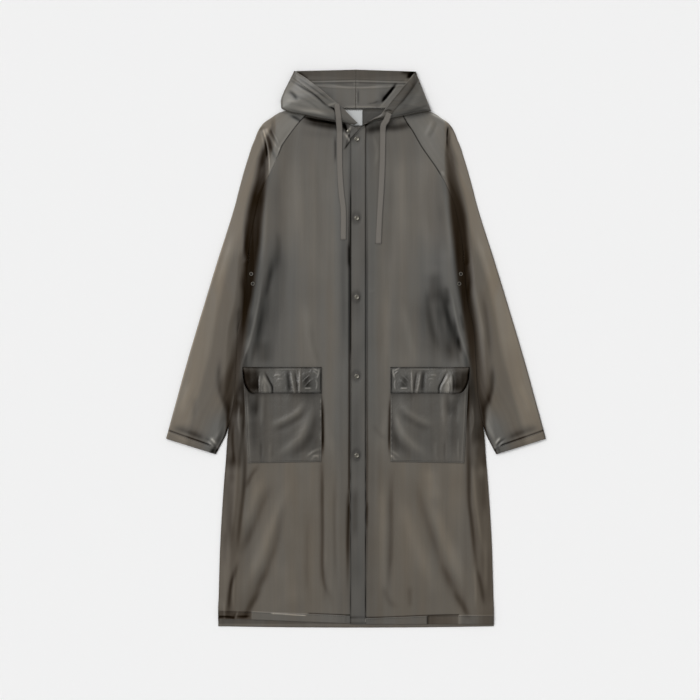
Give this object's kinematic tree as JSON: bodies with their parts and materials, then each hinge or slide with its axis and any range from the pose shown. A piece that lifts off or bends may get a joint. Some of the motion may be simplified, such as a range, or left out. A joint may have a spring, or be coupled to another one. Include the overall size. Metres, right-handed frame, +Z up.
{
  "type": "raincoat",
  "caption": "Hooded, snap-front raincoat of translucent smoke-grey film, with raglan sleeves, flap pockets and a drawstring hood, laid flat on its back.",
  "frame": {"origin": "centre of the coat's outline on the surface that it lies on", "axes": "+Y up the coat to the hood, +X to the wearer's left, +Z up off the surface"},
  "size_m": [0.854, 1.254, 0.027],
  "materials": {
    "body_film": "translucent smoke-grey soft film with a satin sheen",
    "sleeve_film": "the same film, two layers over a pale floor, so lighter and browner",
    "hood_film": "translucent smoke-grey soft film with a satin sheen",
    "pocket_film": "the same film in more layers, darker and glossier at its creases",
    "label_cloth": "bare light grey woven label",
    "tape": "flat woven tape, matt",
    "snap_metal": "dark painted snap and eyelet, worn bright at the rim"
  },
  "bodies": {
    "root": {"back": "body_film", "front_left": "body_film", "front_right": "body_film", "placket": "body_film", "sleeve_left": "sleeve_film", "sleeve_right": "sleeve_film", "hood_left": "hood_film", "hood_right": "hood_film", "pocket_left": "pocket_film", "pocket_right": "pocket_film", "flap_left": "pocket_film", "flap_right": "pocket_film", "neck_label": "label_cloth", "drawstring_left": "tape", "drawstring_right": "tape", "neck_stud": "snap_metal", "snap_1": "snap_metal", "snap_2": "snap_metal", "snap_3": "snap_metal", "snap_4": "snap_metal", "snap_5": "snap_metal", "vent_left_1": "snap_metal", "vent_left_2": "snap_metal", "vent_right_1": "snap_metal", "vent_right_2": "snap_metal"}
  },
  "joints": []
}
